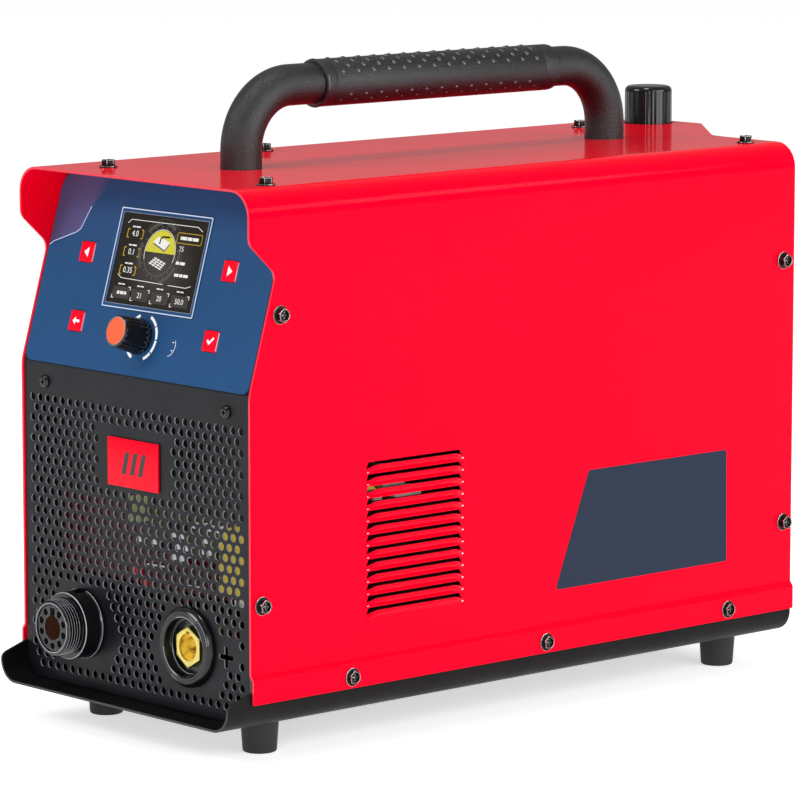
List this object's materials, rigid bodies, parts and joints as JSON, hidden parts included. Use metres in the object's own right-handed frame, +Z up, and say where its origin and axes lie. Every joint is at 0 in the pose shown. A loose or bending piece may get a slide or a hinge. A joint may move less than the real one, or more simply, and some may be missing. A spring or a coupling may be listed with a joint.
{
  "type": "plasma cutter unit",
  "caption": "Upright inverter plasma cutter power source with a folded sheet cover, sloping control panel, carrying handle, torch and work sockets and a rear air regulator.",
  "frame": {"origin": "on the floor under the middle of the whole machine", "axes": "+Z up, the front panel faces -Y, +X is the machine right-hand side seen from the front"},
  "size_m": [0.234, 0.553, 0.4128],
  "materials": {
    "red_paint": "smooth gloss powder coat",
    "black_paint": "fine satin powder coat",
    "blue_overlay": "printed polycarbonate",
    "black_plastic": "moulded",
    "gloss_black": "polished",
    "rubber": "matte",
    "red_plastic": "semi-gloss",
    "orange_plastic": "satin",
    "silver": "brushed",
    "screen_glass": "display window",
    "clear_bowl": "polycarbonate bowl",
    "board": "solder mask",
    "brass": "turned",
    "aluminium": "extruded",
    "steel": "zinc plated",
    "dark_steel": "black oxide",
    "ferrite": "sintered",
    "yellow_tape": "insulating tape over copper",
    "hose": "polyurethane"
  },
  "bodies": {
    "case": {"top_cover": "red_paint", "base_tray": "black_paint", "front_panel": "black_paint", "rear_panel": "black_paint", "control_overlay": "blue_overlay", "badge_plate": "red_plastic", "foot_front_left": "rubber", "foot_front_right": "rubber", "foot_rear_left": "rubber", "foot_rear_right": "rubber", "handle_tube": "black_plastic", "handle_grip": "rubber", "lcd_bezel": "silver", "lcd_glass": "screen_glass", "lcd_module": "black_plastic", "control_board": "board", "encoder_body": "silver", "torch_socket_housing": "black_plastic", "torch_socket_insert": "black_plastic", "torch_socket_pin": "brass", "torch_socket_nut": "black_plastic", "work_socket_housing": "black_plastic", "work_socket_contact": "brass", "work_socket_nut": "brass", "regulator_body": "aluminium", "filter_bowl": "clear_bowl", "regulator_bracket": "steel", "gauge_case": "black_plastic", "gauge_glass": "screen_glass", "air_inlet": "brass", "air_elbow": "brass", "air_hose": "hose", "solenoid_valve": "brass", "chassis_plate": "steel", "heatsink": "aluminium", "power_board": "board", "transformer_core": "ferrite", "transformer_winding": "yellow_tape", "choke": "yellow_tape", "fan_frame": "black_plastic", "fan_guard": "dark_steel", "power_switch_body": "black_plastic", "cable_gland": "black_plastic", "strip_screw_left_front": "dark_steel", "strip_screw_left_middle": "dark_steel", "strip_screw_left_rear": "dark_steel", "strip_screw_right_front": "dark_steel", "strip_screw_right_middle": "dark_steel", "strip_screw_right_rear": "dark_steel"},
    "encoder": {"encoder_shaft": "steel", "encoder_knob": "gloss_black", "encoder_cap": "orange_plastic"},
    "key_left": {"button_left": "red_plastic"},
    "key_right": {"button_right": "red_plastic"},
    "key_back": {"button_back": "red_plastic"},
    "key_select": {"button_select": "red_plastic"},
    "regulator_dial": {"regulator_knob": "gloss_black"},
    "gauge_pointer": {"gauge_needle": "black_plastic"},
    "fan": {"fan_rotor": "black_plastic"},
    "rocker": {"power_switch_rocker": "red_plastic"}
  },
  "joints": [
    {"name": "encoder_turn", "type": "hinge", "parent": "case", "child": "encoder", "pos_m": [0, -0.24347, 0.24959], "axis": [0, -0.9597, 0.2811], "continuous": true},
    {"name": "key_left_press", "type": "slide", "parent": "case", "child": "key_left", "axis": [0, 0.9597, -0.2811], "range_m": [0, 0.0008], "stiffness_N_per_m": 1500},
    {"name": "key_right_press", "type": "slide", "parent": "case", "child": "key_right", "axis": [0, 0.9597, -0.2811], "range_m": [0, 0.0008], "stiffness_N_per_m": 1500},
    {"name": "key_back_press", "type": "slide", "parent": "case", "child": "key_back", "axis": [0, 0.9597, -0.2811], "range_m": [0, 0.0008], "stiffness_N_per_m": 1500},
    {"name": "key_select_press", "type": "slide", "parent": "case", "child": "key_select", "axis": [0, 0.9597, -0.2811], "range_m": [0, 0.0008], "stiffness_N_per_m": 1500},
    {"name": "regulator_turn", "type": "hinge", "parent": "case", "child": "regulator_dial", "pos_m": [-0.064, 0.255, 0.35], "axis": [0, 0, 1], "range_deg": [-630, 630]},
    {"name": "pressure_pointer", "type": "hinge", "parent": "case", "child": "gauge_pointer", "pos_m": [-0.064, 0.272, 0.292], "axis": [0, 1, 0], "range_deg": [-135, 135]},
    {"name": "fan_spin", "type": "hinge", "parent": "case", "child": "fan", "pos_m": [0.035, 0.1955, 0.125], "axis": [0, 1, 0], "continuous": true},
    {"name": "switch_rock", "type": "hinge", "parent": "case", "child": "rocker", "pos_m": [0.062, 0.2148, 0.262], "axis": [1, 0, 0], "range_deg": [-20, 0]}
  ],
  "couplings": [
    {"joint": "pressure_pointer", "follows": "regulator_turn", "ratio": 0.2142}
  ]
}
